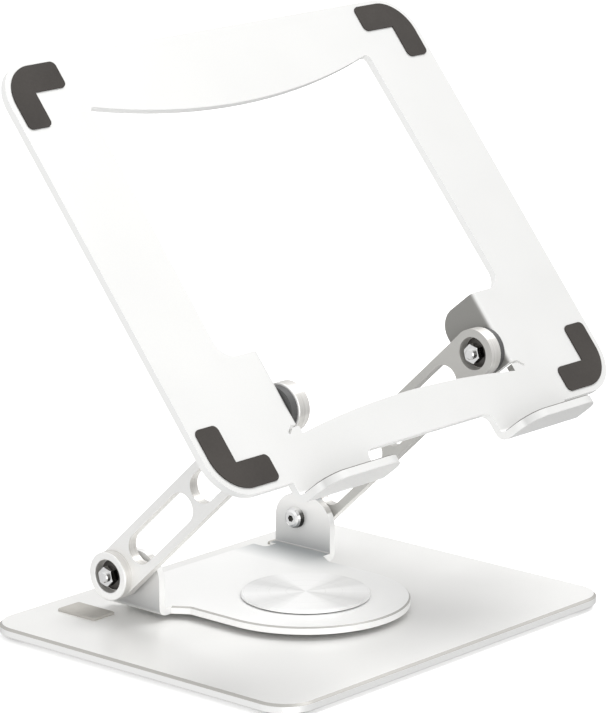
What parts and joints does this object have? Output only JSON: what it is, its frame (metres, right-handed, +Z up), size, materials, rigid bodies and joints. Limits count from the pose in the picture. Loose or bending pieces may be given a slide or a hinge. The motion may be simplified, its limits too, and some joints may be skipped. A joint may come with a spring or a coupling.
{
  "type": "laptop stand",
  "caption": "Folding laptop stand: a swivelling base, twin slotted arms on friction hinges and an open tilting tray with front hooks and silicone corner pads.",
  "frame": {"origin": "on the swivel axis, in the plane of the feet", "axes": "+Z up, +X to the user's right, -Y towards the user"},
  "size_m": [0.272, 0.1924, 0.268],
  "materials": {
    "base_aluminium": "satin anodised, bright bevel",
    "bracket_aluminium": "satin anodised",
    "arm_aluminium": "satin anodised",
    "tray_aluminium": "satin anodised, fine bead-blasted grain",
    "spun_disc": "spun, concentric turning marks",
    "screw_chrome": "polished",
    "nut_chrome": "polished",
    "zinc_steel": "zinc plated",
    "bush_brass": "turned",
    "washer_plastic": "moulded",
    "dark_plastic": "moulded",
    "silicone": "matte silicone",
    "bumper_rubber": "matte rubber",
    "foot_rubber": "matte rubber"
  },
  "bodies": {
    "base": {"base_plate": "base_aluminium", "foot_front_left": "foot_rubber", "foot_front_right": "foot_rubber", "foot_rear_left": "foot_rubber", "foot_rear_right": "foot_rubber", "center_pad": "foot_rubber", "bumper_left": "bumper_rubber", "bumper_right": "bumper_rubber", "swivel_hub": "spun_disc", "hub_screws": "zinc_steel", "thrust_ring": "dark_plastic"},
    "turntable": {"swivel_bracket": "bracket_aluminium", "swivel_bush": "dark_plastic", "slip_washer": "dark_plastic", "lower_hinge_screws": "screw_chrome", "lower_hinge_nuts": "nut_chrome", "lower_spring_washers": "zinc_steel"},
    "arms": {"left_arm": "arm_aluminium", "right_arm": "arm_aluminium", "lower_hinge_bushes": "bush_brass", "upper_hinge_bushes": "bush_brass", "lower_friction_washers": "washer_plastic", "upper_friction_washers": "washer_plastic"},
    "tray_body": {"tray": "tray_aluminium", "pad_rear_left": "silicone", "pad_rear_right": "silicone", "pad_front_left": "silicone", "pad_front_right": "silicone", "hook_lining_left": "silicone", "hook_lining_right": "silicone", "upper_hinge_screws": "screw_chrome", "upper_hinge_nuts": "nut_chrome", "upper_spring_washers": "zinc_steel"}
  },
  "joints": [
    {"name": "swivel", "type": "hinge", "parent": "base", "child": "turntable", "pos_m": [0, 0, 0.0065], "axis": [0, 0, 1], "continuous": true},
    {"name": "lower_hinge", "type": "hinge", "parent": "turntable", "child": "arms", "pos_m": [0, 0.0564, 0.0267], "axis": [1, 0, 0], "range_deg": [-35, 28]},
    {"name": "upper_hinge", "type": "hinge", "parent": "arms", "child": "tray_body", "pos_m": [0, -0.04625, 0.1226], "axis": [1, 0, 0], "range_deg": [-75, 15]}
  ]
}
